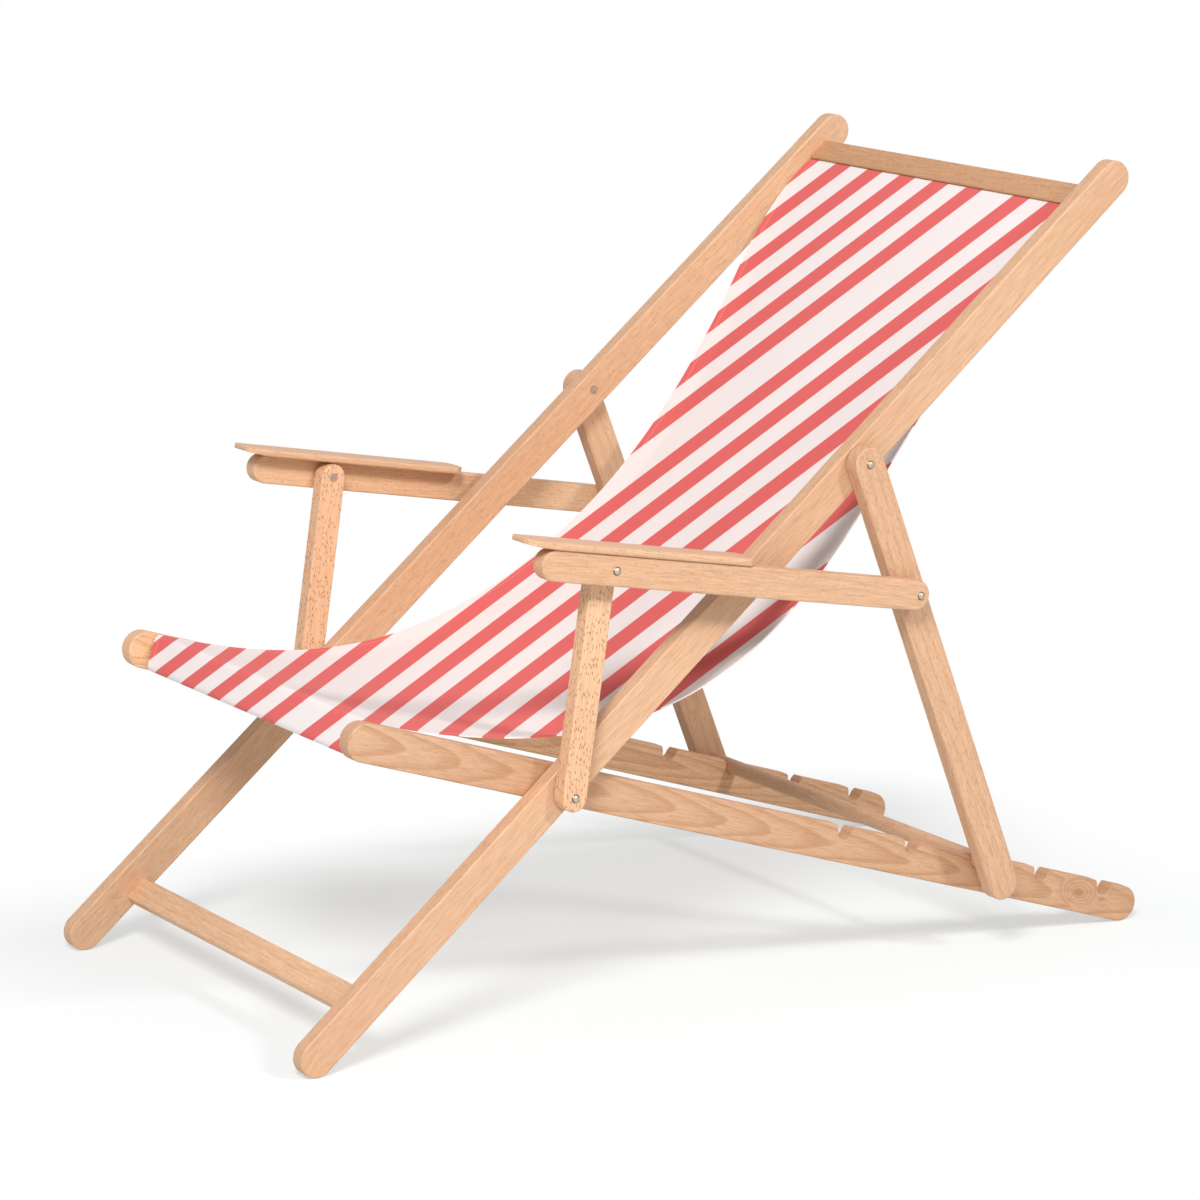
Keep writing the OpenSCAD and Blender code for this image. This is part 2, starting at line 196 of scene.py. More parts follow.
def fleckDashes(tree, place, many, fine):
    # 1 on a fleck and 0 off it; each cell of the pattern may hold one short dash along the grain
    cellsPerMetre = [1 / fine / beech[way] for way in ("fleckAcross", "fleckAlong", "fleckAcross")]
    fleckPlace = addNode(tree, "ShaderNodeVectorMath", (-1200, -300), {"operation": "MULTIPLY"},
                         {0: place, 1: cellsPerMetre}).outputs[0]
    cells = addNode(tree, "ShaderNodeTexVoronoi", (-1000, -300), inputs={
        "Vector": fleckPlace, "Scale": 1.0, "Randomness": 0.9})
    dash = addNode(tree, "ShaderNodeMapRange", (-800, -250), inputs={
        "Value": cells.outputs["Distance"], "From Min": beech["fleckEdge"][0],
        "From Max": beech["fleckEdge"][1]}).outputs[0]
    lot = addNode(tree, "ShaderNodeSeparateColor", (-900, -400), inputs={
        0: cells.outputs["Color"]}).outputs[0]
    chosen = addNode(tree, "ShaderNodeMath", (-800, -350), {"operation": "GREATER_THAN"},
                     {0: lot, 1: 1 - many}).outputs[0]
    return addNode(tree, "ShaderNodeMath", (-600, -300), {"operation": "MULTIPLY"},
                   {0: dash, 1: chosen}).outputs[0]


def knotDistance(tree, grain, knot):
    # from the knot's middle, 1 at its rim
    away = addNode(tree, "ShaderNodeVectorMath", (-1200, -500), {"operation": "SUBTRACT"},
                   {0: grain, 1: knot["place"]}).outputs[0]
    shaped = addNode(tree, "ShaderNodeVectorMath", (-1000, -500), {"operation": "DIVIDE"},
                     {0: away, 1: knot["size"]}).outputs[0]
    return addNode(tree, "ShaderNodeVectorMath", (-800, -500), {"operation": "LENGTH"},
                   {0: shaped}).outputs["Value"]


def makeBeech(name, slope, shift, flecks, rings, knot=None, many=0.7, fine=1.0,
              pith=quarterSawn, tint=(1, 1, 1)):
    # slope is the timber's own, above the horizon; without one the grain runs across the chair.
    # flecks and rings say how strongly they show, many which share of the flecks is there, and
    # fine, under 1, makes them smaller
    material = newMaterial(name)
    tree = material.node_tree
    coords = addNode(tree, "ShaderNodeTexCoord", (-1800, 0))
    turn = (math.radians(-slope), 0, 0) if slope is not None else (0, 0, math.radians(90))
    grain = addNode(tree, "ShaderNodeMapping", (-1600, 0), inputs={
        "Vector": coords.outputs["Object"], "Rotation": turn}).outputs[0]
    place = addNode(tree, "ShaderNodeVectorMath", (-1400, 0), {"operation": "ADD"},
                    {0: grain, 1: shift}).outputs[0]
    wander = addNode(tree, "ShaderNodeVectorMath", (-1200, 300), {"operation": "MULTIPLY"},
                     {0: place, 1: beech["patches"]}).outputs[0]
    fromKnot = knotDistance(tree, grain, knot) if knot else None

    # tone: broad patches, then the rings, then fine fibres
    patches = addNode(tree, "ShaderNodeTexNoise", (-1000, 600), inputs={
        "Vector": wander, "Scale": 0.8, "Detail": 2.0}).outputs[0]
    patchTone = addNode(tree, "ShaderNodeValToRGB", (-800, 600), inputs={0: patches}, stops=[
        (0.32, beech["dark"]), (0.66, beech["light"])]).outputs[0]
    ringTone = growthRings(tree, grain, wander, pith, fromKnot)
    ringShare = addNode(tree, "ShaderNodeMath", (50, 300), {"operation": "MULTIPLY_ADD"},
                        {0: ringTone, 1: -rings, 2: rings}).outputs[0]
    withRings = addNode(tree, "ShaderNodeMix", (200, 400), {"data_type": "RGBA"}, {
        0: ringShare, 6: patchTone, 7: linearColour(beech["lateWood"])}).outputs[2]
    fibres = fibreStreaks(tree, place)
    fibreTone = addNode(tree, "ShaderNodeValToRGB", (-800, -100), inputs={0: fibres}, stops=[
        (0.3, beech["betweenFibres"]), (0.62, "#FFFFFF")]).outputs[0]
    withFibres = addNode(tree, "ShaderNodeMix", (400, 300), {
        "data_type": "RGBA", "blend_type": "MULTIPLY"}, {
        0: beech["fibreShow"], 6: withRings, 7: fibreTone}).outputs[2]

    # on it the flecks and the knot, and the group's tint, which on some groups is painted light
    fleckMask = fleckDashes(tree, place, many, fine)
    fleckShare = addNode(tree, "ShaderNodeMath", (-400, -300), {"operation": "MULTIPLY"},
                         {0: fleckMask, 1: flecks}).outputs[0]
    colour = addNode(tree, "ShaderNodeMix", (600, 200), {"data_type": "RGBA"}, {
        0: fleckShare, 6: withFibres, 7: linearColour(beech["fleck"])}).outputs[2]
    if knot:
        knotMask = addNode(tree, "ShaderNodeMapRange", (-600, -500), {
            "interpolation_type": "SMOOTHERSTEP"}, {
            "Value": fromKnot, "From Min": 1.0, "From Max": 0.25}).outputs[0]
        knotShare = addNode(tree, "ShaderNodeMath", (600, 0), {"operation": "MULTIPLY"},
                            {0: knotMask, 1: beech["knotShow"]}).outputs[0]
        colour = addNode(tree, "ShaderNodeMix", (800, 200), {"data_type": "RGBA"}, {
            0: knotShare, 6: colour, 7: linearColour(beech["knot"])}).outputs[2]
    colour = addNode(tree, "ShaderNodeVectorMath", (850, 300), {"operation": "MULTIPLY"},
                     {0: colour, 1: tint}).outputs[0]

    # surface: flecks a little sunk, fibres a little uneven in shine
    height = addNode(tree, "ShaderNodeMath", (400, -200), {"operation": "MULTIPLY_ADD"},
                     {0: fleckMask, 1: -1.2, 2: fibres}).outputs[0]
    bump = addNode(tree, "ShaderNodeBump", (600, -200), inputs={
        "Strength": beech["reliefShow"], "Distance": beech["relief"], "Height": height}).outputs[0]
    dullness = addNode(tree, "ShaderNodeMapRange", (600, 0), inputs={
        "Value": fibres, "To Min": beech["roughness"][0],
        "To Max": beech["roughness"][1]}).outputs[0]
    shader = addNode(tree, "ShaderNodeBsdfPrincipled", (1000, 100), inputs={
        "Base Color": colour, "Roughness": dullness, "Normal": bump,
        "IOR": 1.5, "Specular IOR Level": beech["specular"],
        "Coat Weight": beech["coat"], "Coat Roughness": beech["coatRoughness"]})
    addNode(tree, "ShaderNodeOutputMaterial", (1300, 100), inputs={"Surface": shader.outputs[0]})
    return material


# each group of timbers is cut so that its grain runs along it, and has a tint of its own that makes
# it lighter, darker or warmer; on some groups that tint is painted light, as said beside them
timberGroups = {
    "back_rail": {"slope": 40.0, "shift": (0.0, 0.0, 0.0), "flecks": 0.24, "rings": 0.16},
    "seat_rail": {"slope": -17.56, "shift": (0.02, 0.31, 0.03), "flecks": 0.2, "rings": 0.8,
                  "knot": {"place": (0.25, 0.438, 0.1845), "size": (0.02, 0.013, 0.007)},
                  "pith": flatSawn, "tint": (0.93, 0.93, 0.93)},
    "prop_strut": {"slope": -67.73, "shift": (0.05, 0.64, -0.02), "flecks": 0.26, "rings": 0.35},
    # painted light: the arm posts' lighter tint lightens the shade that the arm rails cast on them
    "arm_post": {"slope": 82.27, "shift": (-0.02, 0.9, 0.04), "flecks": 0.85, "rings": 0.12,
                 "many": 0.97, "fine": 0.72, "tint": (1.16, 1.16, 1.16)},
    "arm_rail": {"slope": -9.9, "shift": (0.03, 1.3, 0.01), "flecks": 0.34, "rings": 0.2,
                 "many": 0.85, "fine": 0.66},
    "armrest": {"slope": -9.9, "shift": (-0.05, 1.7, 0.06), "flecks": 0.24, "rings": 0.12,
                "fine": 0.8},
    "top_rail": {"slope": None, "shift": (0.7, 0.6, 0.1), "flecks": 0.3, "rings": 0.2,
                 "tint": (0.86, 0.77, 0.66)},
    # painted light: the foot stretcher's tint makes it lighter, as if it were lit more strongly
    "foot_stretcher": {"slope": None, "shift": (0.1, 0.3, 0.4), "flecks": 0.2, "rings": 0.3,
                       "tint": (1.12, 1.16, 1.16)},
    "cross": {"slope": None, "shift": (0.4, 0.2, 0.1), "flecks": 0.3, "rings": 0.3,
              "tint": (0.97, 1.02, 1.06)},
}
# the far rails lie in the cloth's shade, and the photo has them paler
# painted light: the far rails' paler tints lighten the cloth's shade on them
timberGroups["seat_rail_right"] = dict(timberGroups["seat_rail"], tint=(1.2, 1.2, 1.17), knot=None)
timberGroups["arm_rail_right"] = dict(timberGroups["arm_rail"], tint=(1.1, 1.14, 1.14))
crossPieces = ("seat_front_bar", "prop_crossbar", "armrest_dowels")

timberMaterials = {
    group: makeBeech("beechLacquered_" + group, **settings)
    for group, settings in timberGroups.items()}


def timberGroup(name):
    if name in crossPieces:
        return "cross"
    return name if name in timberGroups else name.rsplit("_", 1)[0]


for name, piece in nodes.items():
    if timberGroup(name) in timberMaterials:
        giveMaterial(piece, timberMaterials[timberGroup(name)])
print("timbers finished in beech")


# Zinc-plated steel, pressed: a warm grey with a soft uneven shine, and painted shade in dark
# brown round the foot of each domed head

zinc = {
    "colour": "#D6C9B8",
    "worn": "#AFA292",
    "paintedShade": "#7D6B59",
    "clouds": 0.0024,             # m, size of the clouds in the plating
    "paintedShadeTurn": (0.72, 0.9),   # cosine of the surface's turn from the pin's axis, painted shade to unshaded
    "relief": 0.0001,             # m
    "reliefShow": 0.2,
    "roughness": (0.34, 0.54),
}
metalWords = ("pins", "washers", "tacks", "pin_ends")


def makeZinc():
    material = newMaterial("zincPlatedSteel")
    tree = material.node_tree
    coords = addNode(tree, "ShaderNodeTexCoord", (-900, 0))
    cloudy = addNode(tree, "ShaderNodeTexNoise", (-700, 0), inputs={
        "Vector": coords.outputs["Object"], "Scale": 1 / zinc["clouds"], "Detail": 3.0}).outputs[0]
    tone = addNode(tree, "ShaderNodeValToRGB", (-400, 150), inputs={0: cloudy}, stops=[
        (0.3, zinc["worn"]), (0.7, zinc["colour"])]).outputs[0]
    # every pin lies along X, so the foot of its dome, where painted shade darkens it, is where the
    # surface turns away from X
    facing = addNode(tree, "ShaderNodeSeparateXYZ", (-700, 350), inputs={
        0: coords.outputs["Normal"]})
    turned = addNode(tree, "ShaderNodeMath", (-500, 350), {"operation": "ABSOLUTE"},
                     {0: facing.outputs[0]}).outputs[0]
    unshaded = addNode(tree, "ShaderNodeMapRange", (-350, 350), {"interpolation_type": "SMOOTHSTEP"}, {
        "Value": turned, "From Min": zinc["paintedShadeTurn"][0],
        "From Max": zinc["paintedShadeTurn"][1]}).outputs[0]
    # painted shade: dark brown mixed in round the foot of each dome, where it meets the timber
    colour = addNode(tree, "ShaderNodeMix", (-150, 200), {"data_type": "RGBA"}, {
        0: unshaded, 6: linearColour(zinc["paintedShade"]), 7: tone}).outputs[2]
    dullness = addNode(tree, "ShaderNodeMapRange", (-400, -50), inputs={
        "Value": cloudy, "To Min": zinc["roughness"][0], "To Max": zinc["roughness"][1]}).outputs[0]
    bump = addNode(tree, "ShaderNodeBump", (-400, -300), inputs={
        "Strength": zinc["reliefShow"], "Distance": zinc["relief"], "Height": cloudy}).outputs[0]
    shader = addNode(tree, "ShaderNodeBsdfPrincipled", (0, 0), inputs={
        "Base Color": colour, "Metallic": 1.0, "Roughness": dullness, "Normal": bump})
    addNode(tree, "ShaderNodeOutputMaterial", (300, 0), inputs={"Surface": shader.outputs[0]})
    return material


zincMaterial = makeZinc()
for name, piece in nodes.items():
    if any(word in name for word in metalWords):
        giveMaterial(piece, zincMaterial)
print("pins, washers and tacks finished in zinc")


# The hung cloth

cloth = {
    "white": "#F6EBEA",
    "red": "#E66B69",
    "stitchTone": "#F6E4E0",
    "unevenTone": "#EDEAE8",
    "bounceTone": "#DCCAB4",
    # half widths from the top rail to the front bar, at even steps, as the photo's selvedges run
    "halfWidths": (0.249, 0.2435, 0.2255, 0.219, 0.223, 0.233, 0.241, 0.242, 0.2365, 0.2295, 0.229),
    "wovenWidth": 0.458,       # m, the width that the threads and the hem are laid out on
    "thickness": 0.0016,
    "thread": 0.0011,          # m, drawn twice as coarse as real canvas, to show
    "unevenShow": 0.6,
    "hem": 0.011,
    "foldEdge": 0.0006,        # m, half the slope at the fold's edge
    "stitch": 0.0036,          # m from one stitch to the next
    "stitchInset": 0.0022,     # m from the row of stitches to the fold's edge
    "rowEdge": (0.0007, 0.0003),    # m from the row's middle: where a stitch starts, and is full
    "stitchEdge": (0.12, 0.2),      # and the same along the row, in lengths of a stitch
    "stitchShow": 0.4,
    "relief": 0.0002,
    "reliefShow": 0.25,
    "bounceHeld": 0.85,
    "roughness": 0.88,
    "sheen": 0.05,
    "specular": 0.12,
    "backAngle": 40.0,
    "seatAngle": -17.56,
    "pin": (0, -0.24291, 0.26031),               # where the two frames cross
    "topRail": (0.903, 0.0015, 0.030, 0.013),    # along, across, width, thickness
    "frontBar": (-0.226, 0.007, 0.018, 0.038),
    "railEase": 0.002,         # radius of the rail's eased edge, then of the bar's
    "barEase": 0.005,
    "railSteps": 5,            # of the quarter turn round an edge
    "barSteps": 6,
    "gap": 0.0013,
    "sag": ((0.489, 0.438), (0.363, -0.099)),    # the two pulls of the slack curve, from the pin
    "sagSteps": 120,
    "waves": (1.7, 3.1),       # shallow waves of the slack cloth: across it and a metre down it
    "waveDepth": 0.0022,
    "curl": 0.004,             # m that a selvedge turns in
    "curlFrom": 0.86,          # of the half width
    "wholeSlack": 0.7,         # below 1 the waves reach nearer to the rail and the bar
    "lookAhead": 0.002,        # m along the cloth, to read which way it runs
    "columns": 96,
    "rows": 320,
    "smoothUnder": 50,         # degrees
}


def fromPin(y, z):
    return Vector(cloth["pin"]) + Vector((0, y, z))


def onFrame(angle, u, v):
    return Vector(cloth["pin"]) + along(angle) * u + across(angle) * v


def lineLength(points):
    return sum((q - p).length for p, q in zip(points, points[1:]))


def clothLine():
    # the cloth's middle line in side view, with the lengths of its first two parts: over the back of
    # the top rail, down the slack curve, and round the front bar
    gap = cloth["gap"]
    angle, ease = cloth["backAngle"], cloth["railEase"]
    u, v, w, t = cloth["topRail"]
    overRail = [onFrame(angle, u + w / 2 - ease, v - t / 2 - gap)]
    lowCorner = onFrame(angle, u - w / 2 + ease, v - t / 2 + ease)
    for i in range(cloth["railSteps"] + 1):
        overRail.append(lowCorner + along(angle - 90 - 90 * i / cloth["railSteps"]) * (ease + gap))
    start = onFrame(angle, u - w / 2 - gap, v + t / 2 - ease)
    overRail.append(start)

    angle, ease = cloth["seatAngle"], cloth["barEase"]
    u, v, w, t = cloth["frontBar"]
    end = onFrame(angle, u + w / 2 - ease, v + t / 2 + gap)
    upper, lower = (fromPin(*pull) for pull in cloth["sag"])
    slack = []
    for i in range(1, cloth["sagSteps"] + 1):
        k = i / cloth["sagSteps"]
        slack.append(start * (1 - k) ** 3 + upper * 3 * k * (1 - k) ** 2
                     + lower * 3 * k * k * (1 - k) + end * k ** 3)

    roundBar = []
    for sx, sy, first in ((-1, 1, 90), (-1, -1, 180), (1, -1, 270)):
        corner = onFrame(angle, u + sx * (w / 2 - ease), v + sy * (t / 2 - ease))
        for i in range(cloth["barSteps"] + 1):
            roundBar.append(corner + along(angle + first + 90 * i / cloth["barSteps"]) * (ease + gap))
    roundBar.append(onFrame(angle, u + w / 2 + gap, v + t / 2 - 2 * ease))
    return overRail + slack + roundBar, lineLength(overRail), lineLength([start] + slack)


def lineReader(points):
    # place at a distance along a line of points
    lengths = [0.0]
    for p, q in zip(points, points[1:]):
        lengths.append(lengths[-1] + (q - p).length)

    def read(distance):
        distance = min(max(distance, 0.0), lengths[-1])
        lo, hi = 0, len(lengths) - 1
        while hi - lo > 1:
            mid = (lo + hi) // 2
            if lengths[mid] <= distance:
                lo = mid
            else:
                hi = mid
        k = (distance - lengths[lo]) / (lengths[hi] - lengths[lo])
        return points[lo].lerp(points[hi], k)
    return read, lengths[-1]


def halfWidth(part):
    # smooth curve through the half widths, part running from 0 at the top rail to 1 at the front bar
    widths = cloth["halfWidths"]
    place = min(max(part, 0.0), 1.0) * (len(widths) - 1)
    i = min(int(place), len(widths) - 2)
    k = place - i
    a, b, c, d = (widths[min(max(i + j, 0), len(widths) - 1)] for j in (-1, 0, 1, 2))
    return b + 0.5 * k * (c - a + k * (2 * a - 5 * b + 4 * c - d + k * (3 * (b - c) + d - a)))


# Stripes of the print, in mm. They run straight from the top rail to the front bar when the chair
# is seen from its front corner, so on the cloth they lean with the depth of the sag.
stripes = {
    "pitch": 63.0,
    "red": 30.0,
    "edge": 0.8,          # half the soft edge of a stripe
    "group": 401.0,       # six red ones and the wide white one after them
    "groupStart": 94.4,   # middle of a wide white one
    "firstRed": 43.0,     # from there to the middle of the first red one
    "lean": 1.9557,       # across the print for each mm of sag
    "leanLess": -0.00079415,    # and less of it the deeper the sag is
    "leanDown": 0.000104,       # or more, further down the cloth
    "leanSide": -0.00041865,    # or less, towards the near side
    "drift": -0.03723,          # across the print for each mm down the cloth
    "driftSide": 0.00005003,
}


def stripePlace(point):
    # mm across the print at a point of the cloth: sag is its depth under the straight line
    # from the top rail to the front bar, down its distance along that line
    top, front = fromPin(0.684, 0.569), fromPin(-0.207, 0.095)
    run = (front - top).normalized()
    below = Vector((0, -run.z, run.y))
    side, down, sag = point.x * 1000, (point - top).dot(run) * 1000, (point - top).dot(below) * 1000
    return (side + stripes["lean"] * sag + stripes["drift"] * down + stripes["leanSide"] * side * sag
            + stripes["leanDown"] * sag * down + stripes["driftSide"] * side * down
            + stripes["leanLess"] * sag * sag)


def makeCloth():
    points, before, hung = clothLine()
    read, length = lineReader(points)
    bpy.ops.object.select_all(action="DESELECT")
    bpy.ops.mesh.primitive_grid_add(x_subdivisions=cloth["columns"], y_subdivisions=cloth["rows"],
                                    size=1, calc_uvs=True)
    piece = bpy.context.object
    piece.name = "slingCloth"
    mesh = piece.data
    mesh.uv_layers[0].name = "clothMap"
    area = 0.0
    for vertex in mesh.vertices:
        side, down = vertex.co.x * 2, (vertex.co.y + 0.5) * length
        part = (down - before) / hung
        half = halfWidth(part)
        area += 2 * half * length / len(mesh.vertices)
        step = read(down + cloth["lookAhead"]) - read(down - cloth["lookAhead"])
        out = Vector((1, 0, 0)).cross(step.normalized())
        # slack shows as shallow waves down the cloth, and its selvedges turn in a little
        free = math.sin(math.pi * part) ** cloth["wholeSlack"] if 0 < part < 1 else 0
        wavePlace = Vector((side * cloth["waves"][0], down * cloth["waves"][1], 4.0))
        wave = noise.noise(wavePlace) * cloth["waveDepth"]
        curl = -cloth["curl"] * max(abs(side) - cloth["curlFrom"], 0) / (1 - cloth["curlFrom"])
        vertex.co = read(down) + Vector((side * half, 0, 0)) + out * free * (wave + curl)
    stripe = mesh.attributes.new("stripePlace", "FLOAT", "POINT")
    for vertex in mesh.vertices:
        stripe.data[vertex.index].value = stripePlace(vertex.co)
    solid = piece.modifiers.new("thickness", "SOLIDIFY")
    solid.thickness = cloth["thickness"]
    solid.offset = 0
    bpy.context.view_layer.objects.active = piece
    bpy.ops.object.modifier_apply(modifier=solid.name)
    bpy.ops.object.shade_smooth_by_angle(angle=math.radians(cloth["smoothUnder"]))
    return piece, length, area


def printedRed(tree):
    # 1 on a red stripe, where the place across the print is near the stripe's middle
    place = addNode(tree, "ShaderNodeAttribute", (-1800, 300), {
        "attribute_name": "stripePlace"}).outputs["Fac"]
    fromGroup = addNode(tree, "ShaderNodeMath", (-1650, 300), {"operation": "SUBTRACT"}, {
        0: place, 1: stripes["groupStart"]}).outputs[0]
    inGroup = addNode(tree, "ShaderNodeMath", (-1500, 300), {"operation": "WRAP"}, {
        0: fromGroup, 1: stripes["group"], 2: 0.0}).outputs[0]
    fromFirst = addNode(tree, "ShaderNodeMath", (-1350, 300), {"operation": "SUBTRACT"}, {
        0: inGroup, 1: stripes["firstRed"]}).outputs[0]
    fromRed = addNode(tree, "ShaderNodeMath", (-1200, 300), {"operation": "PINGPONG"}, {
        0: fromFirst, 1: stripes["pitch"] / 2}).outputs[0]
    return addNode(tree, "ShaderNodeMapRange", (-1000, 300), {"interpolation_type": "SMOOTHSTEP"}, {
        "Value": fromRed, "From Min": stripes["red"] / 2 + stripes["edge"],
        "From Max": stripes["red"] / 2 - stripes["edge"]}).outputs[0]


def plainWeave(tree, threadMap):
    # warp over weft and weft over warp, in turn
    parts = addNode(tree, "ShaderNodeSeparateXYZ", (-1350, -200), inputs={0: threadMap})
    warp = addNode(tree, "ShaderNodeMath", (-1200, -150), {"operation": "SINE"},
                   {0: parts.outputs[0]}).outputs[0]
    weft = addNode(tree, "ShaderNodeMath", (-1200, -300), {"operation": "SINE"},
                   {0: parts.outputs[1]}).outputs[0]
    return addNode(tree, "ShaderNodeMath", (-1000, -200), {"operation": "MULTIPLY"},
                   {0: warp, 1: weft}).outputs[0]


def sewnHem(tree, metres):
    # a fold at each selvedge, and one row of stitches on it
    spread = addNode(tree, "ShaderNodeSeparateXYZ", (-1500, -700), inputs={0: metres})
    fromEdge = addNode(tree, "ShaderNodeMath", (-1350, -700), {"operation": "PINGPONG"}, {
        0: spread.outputs[0], 1: cloth["wovenWidth"] / 2}).outputs[0]
    fold = addNode(tree, "ShaderNodeMapRange", (-1200, -700), {"interpolation_type": "SMOOTHSTEP"}, {
        "Value": fromEdge, "From Min": cloth["hem"] + cloth["foldEdge"],
        "From Max": cloth["hem"] - cloth["foldEdge"]}).outputs[0]
    fromRow = addNode(tree, "ShaderNodeMath", (-1350, -850), {"operation": "SUBTRACT"}, {
        0: fromEdge, 1: cloth["hem"] - cloth["stitchInset"]}).outputs[0]
    offRow = addNode(tree, "ShaderNodeMath", (-1200, -850), {"operation": "ABSOLUTE"},
                     {0: fromRow}).outputs[0]
    onRow = addNode(tree, "ShaderNodeMapRange", (-1050, -850), inputs={
        "Value": offRow, "From Min": cloth["rowEdge"][0],
        "From Max": cloth["rowEdge"][1]}).outputs[0]
    beat = addNode(tree, "ShaderNodeMath", (-1200, -1000), {"operation": "PINGPONG"}, {
        0: spread.outputs[1], 1: cloth["stitch"] / 2}).outputs[0]
    onStitch = addNode(tree, "ShaderNodeMapRange", (-1050, -1000), inputs={
        "Value": beat, "From Min": cloth["stitch"] * cloth["stitchEdge"][0],
        "From Max": cloth["stitch"] * cloth["stitchEdge"][1]}).outputs[0]
    stitches = addNode(tree, "ShaderNodeMath", (-900, -900), {"operation": "MULTIPLY"},
                       {0: onRow, 1: onStitch}).outputs[0]
    return fold, stitches


def makeCanvas(length):
    # cotton canvas, plain weave, printed and hemmed: matt, with the threads just showing
    material = newMaterial("cottonCanvasStriped")
    tree = material.node_tree
    uv = addNode(tree, "ShaderNodeUVMap", (-1800, -200), {"uv_map": "clothMap"}).outputs[0]
    metres = addNode(tree, "ShaderNodeVectorMath", (-1650, -200), {"operation": "MULTIPLY"}, {
        0: uv, 1: (cloth["wovenWidth"], length, 0)}).outputs[0]
    threadMap = addNode(tree, "ShaderNodeVectorMath", (-1500, -200), {"operation": "SCALE"}, {
        0: metres, 3: math.pi / cloth["thread"]}).outputs[0]
    uneven = addNode(tree, "ShaderNodeTexNoise", (-1200, -500), inputs={
        "Vector": threadMap, "Scale": 0.35, "Detail": 3.0}).outputs[0]
    weave = plainWeave(tree, threadMap)
    fold, stitches = sewnHem(tree, metres)

    # colour: the print, the stitches on it, and an uneven yarn
    printed = addNode(tree, "ShaderNodeMix", (-600, 300), {"data_type": "RGBA"}, {
        0: printedRed(tree), 6: linearColour(cloth["white"]),
        7: linearColour(cloth["red"])}).outputs[2]
    stitchShare = addNode(tree, "ShaderNodeMath", (-600, 100), {"operation": "MULTIPLY"},
                          {0: stitches, 1: cloth["stitchShow"]}).outputs[0]
    sewn = addNode(tree, "ShaderNodeMix", (-450, 300), {"data_type": "RGBA"}, {
        0: stitchShare, 6: printed, 7: linearColour(cloth["stitchTone"])}).outputs[2]
    shade = addNode(tree, "ShaderNodeValToRGB", (-800, -400), inputs={0: uneven}, stops=[
        (0.3, cloth["unevenTone"]), (0.65, "#FFFFFF")]).outputs[0]
    colour = addNode(tree, "ShaderNodeMix", (-300, 200), {
        "data_type": "RGBA", "blend_type": "MULTIPLY"}, {
        0: cloth["unevenShow"], 6: sewn, 7: shade}).outputs[2]

    # relief: threads, the step of the fold, and stitches sunk into it
    threads = addNode(tree, "ShaderNodeMath", (-600, -200), {"operation": "MULTIPLY_ADD"}, {
        0: uneven, 1: 0.6, 2: weave}).outputs[0]
    folded = addNode(tree, "ShaderNodeMath", (-450, -300), {"operation": "MULTIPLY_ADD"}, {
        0: fold, 1: 3.0, 2: threads}).outputs[0]
    height = addNode(tree, "ShaderNodeMath", (-450, -450), {"operation": "MULTIPLY_ADD"}, {
        0: stitches, 1: -2.0, 2: folded}).outputs[0]
    bump = addNode(tree, "ShaderNodeBump", (-300, -200), inputs={
        "Strength": cloth["reliefShow"], "Distance": cloth["relief"], "Height": height}).outputs[0]

    # the timbers beside the cloth show less of its red than a true bounce would give them
    seen = addNode(tree, "ShaderNodeLightPath", (-500, 500))
    held = addNode(tree, "ShaderNodeMath", (-300, 450), {"operation": "MULTIPLY"},
                   {0: seen.outputs["Is Diffuse Ray"], 1: cloth["bounceHeld"]}).outputs[0]
    colour = addNode(tree, "ShaderNodeMix", (-150, 300), {"data_type": "RGBA"}, {
        0: held, 6: colour, 7: linearColour(cloth["bounceTone"])}).outputs[2]
    shader = addNode(tree, "ShaderNodeBsdfPrincipled", (0, 0), inputs={
        "Base Color": colour, "Roughness": cloth["roughness"], "Normal": bump,
        "Sheen Weight": cloth["sheen"], "Sheen Roughness": 0.5,
        "Specular IOR Level": cloth["specular"]})
    addNode(tree, "ShaderNodeOutputMaterial", (300, 0), inputs={"Surface": shader.outputs[0]})
    return material


slingCloth, clothLength, clothArea = makeCloth()
giveMaterial(slingCloth, makeCanvas(clothLength))
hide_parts("sling")
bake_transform(slingCloth)
print("cloth hung, cut length", round(clothLength, 3), "area", round(clothArea, 4))


# Floor, backdrop and lights

stage = {
    "floorSize": 40,
    "paper": "#F0F6F6",
    "footprint": (0.27, 0.52, 0),    # m from the middle, the box in which the floor shows its shade
    "fade": 0.3,                     # m outside it over which the floor turns to plain white
    "whiteUnder": 0.52,              # share of plain white inside it, which keeps the shade soft
    "sky": 0.34,
}


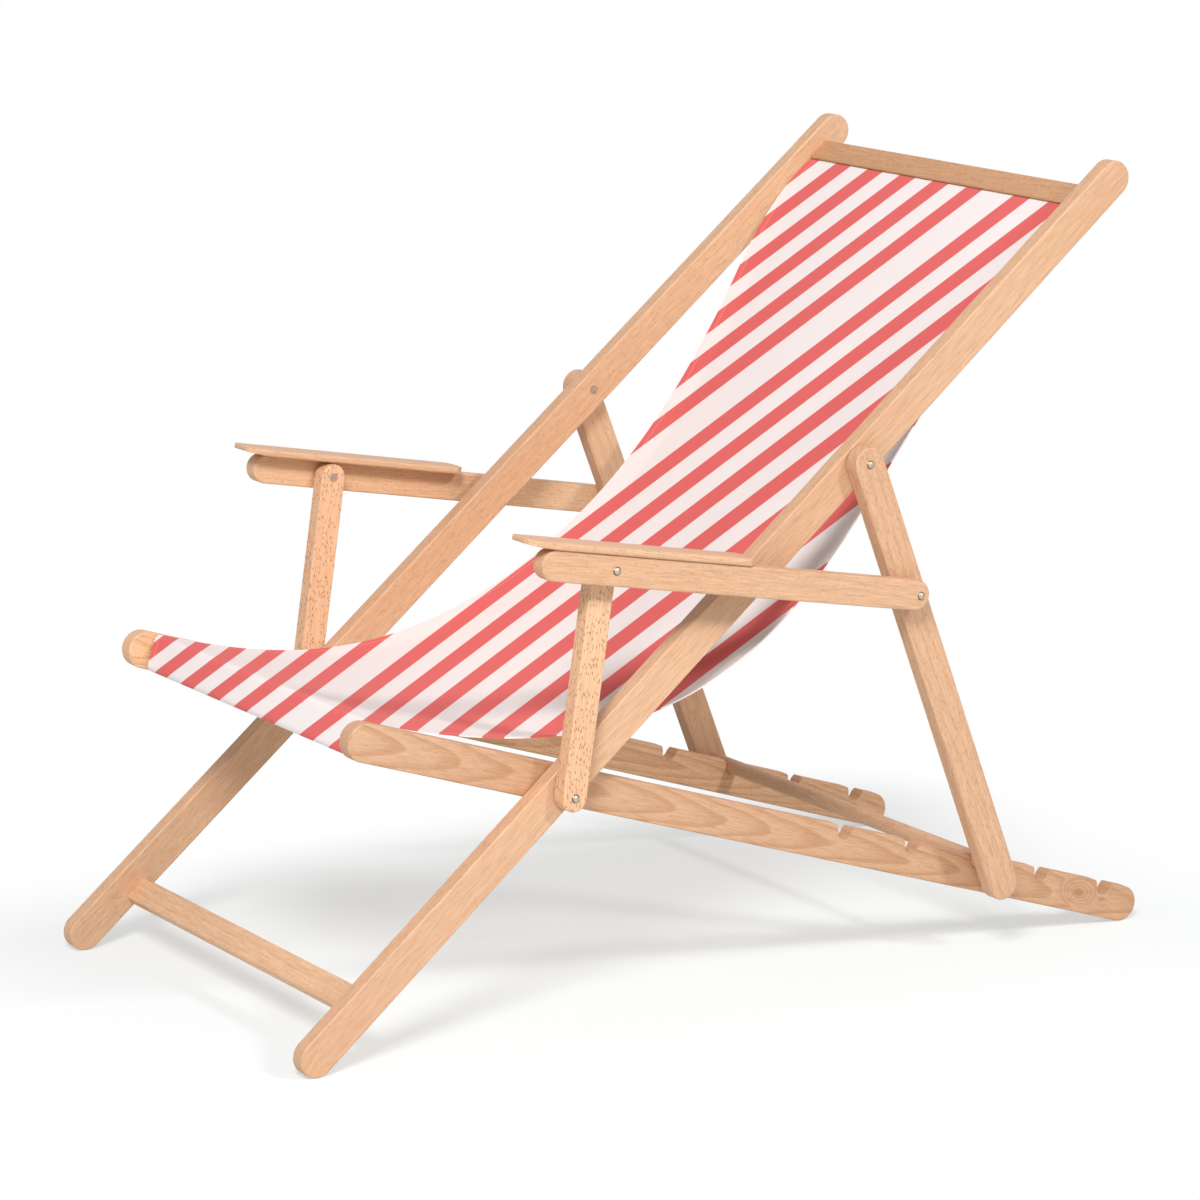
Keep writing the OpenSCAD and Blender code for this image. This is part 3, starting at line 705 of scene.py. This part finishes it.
def makeFloor():
    bpy.ops.object.select_all(action="DESELECT")
    bpy.ops.mesh.primitive_plane_add(size=stage["floorSize"])
    floor = bpy.context.object
    floor.name = "studioFloor"
    material = newMaterial("studioFloorPaper")
    tree = material.node_tree
    coords = addNode(tree, "ShaderNodeTexCoord", (-1300, 0))
    folded = addNode(tree, "ShaderNodeVectorMath", (-1100, 0), {"operation": "ABSOLUTE"},
                     {0: coords.outputs["Object"]}).outputs[0]
    outside = addNode(tree, "ShaderNodeVectorMath", (-1000, 0), {"operation": "SUBTRACT"},
                      {0: folded, 1: stage["footprint"]}).outputs[0]
    clipped = addNode(tree, "ShaderNodeVectorMath", (-900, 0), {"operation": "MAXIMUM"},
                      {0: outside, 1: (0, 0, 0)}).outputs[0]
    far = addNode(tree, "ShaderNodeVectorMath", (-700, 0), {"operation": "LENGTH"},
                  {0: clipped}).outputs["Value"]
    fade = addNode(tree, "ShaderNodeMapRange", (-500, 0), {"interpolation_type": "SMOOTHSTEP"}, {
        "Value": far, "From Min": 0.0, "From Max": stage["fade"]}).outputs[0]
    glow = addNode(tree, "ShaderNodeMapRange", (-300, 0), inputs={
        "Value": fade, "To Min": stage["whiteUnder"], "To Max": 1.0}).outputs[0]
    seen = addNode(tree, "ShaderNodeLightPath", (-500, 300))
    share = addNode(tree, "ShaderNodeMath", (-100, 100), {"operation": "MULTIPLY"},
                    {0: seen.outputs["Is Camera Ray"], 1: glow}).outputs[0]
    paper = addNode(tree, "ShaderNodeBsdfDiffuse", (-100, -100), inputs={
        "Color": linearColour(stage["paper"])})
    light = addNode(tree, "ShaderNodeEmission", (-100, -250), inputs={
        "Color": (1, 1, 1, 1), "Strength": 1.0})
    mix = addNode(tree, "ShaderNodeMixShader", (150, 0), inputs={
        0: share, 1: paper.outputs[0], 2: light.outputs[0]})
    addNode(tree, "ShaderNodeOutputMaterial", (350, 0), inputs={"Surface": mix.outputs[0]})
    giveMaterial(floor, material)


def makeWorld():
    # white to the camera and in reflections, a dimmer white as light
    world = bpy.data.worlds.new("studioWorld")
    bpy.context.scene.world = world
    world.use_nodes = True
    tree = world.node_tree
    tree.nodes.clear()
    seen = addNode(tree, "ShaderNodeLightPath", (-600, 200))
    shiny = addNode(tree, "ShaderNodeMath", (-500, 0), {"operation": "MAXIMUM"}, {
        0: seen.outputs["Is Glossy Ray"], 1: seen.outputs["Is Transmission Ray"]}).outputs[0]
    white = addNode(tree, "ShaderNodeMath", (-400, 200), {"operation": "MAXIMUM"}, {
        0: seen.outputs["Is Camera Ray"], 1: shiny}).outputs[0]
    strength = addNode(tree, "ShaderNodeMapRange", (-200, 200), inputs={
        "Value": white, "To Min": stage["sky"], "To Max": 1.0}).outputs[0]
    sky = addNode(tree, "ShaderNodeBackground", (0, 0), inputs={
        "Color": (1, 1, 1, 1), "Strength": strength})
    addNode(tree, "ShaderNodeOutputWorld", (200, 0), inputs={"Surface": sky.outputs[0]})


lamps = {
    # from the right and a little behind, on the side faces of the timbers
    "side": {"place": (5.2, 2.36, 4.65), "aim": (0, 0, 0.4), "size": 0.9, "power": 162},
    # large and high, from the front corner: it lights the cloth and makes the soft floor shadow
    "high": {"place": (3.33, -3.01, 4.17), "aim": (0, 0, 0.4), "size": 1.8, "power": 266},
}


def placeLamps():
    for name, lamp in lamps.items():
        data = bpy.data.lights.new(name + "Lamp", "AREA")
        data.shape = "DISK"
        data.size = lamp["size"]
        data.energy = lamp["power"]
        piece = bpy.data.objects.new(name + "Lamp", data)
        bpy.context.scene.collection.objects.link(piece)
        piece.location = lamp["place"]
        direction = Vector(lamp["aim"]) - Vector(lamp["place"])
        piece.rotation_euler = direction.to_track_quat("-Z", "Y").to_euler()


makeFloor()
makeWorld()
placeLamps()
bpy.context.scene.view_settings.view_transform = "Standard"
print("stage and lamps set")
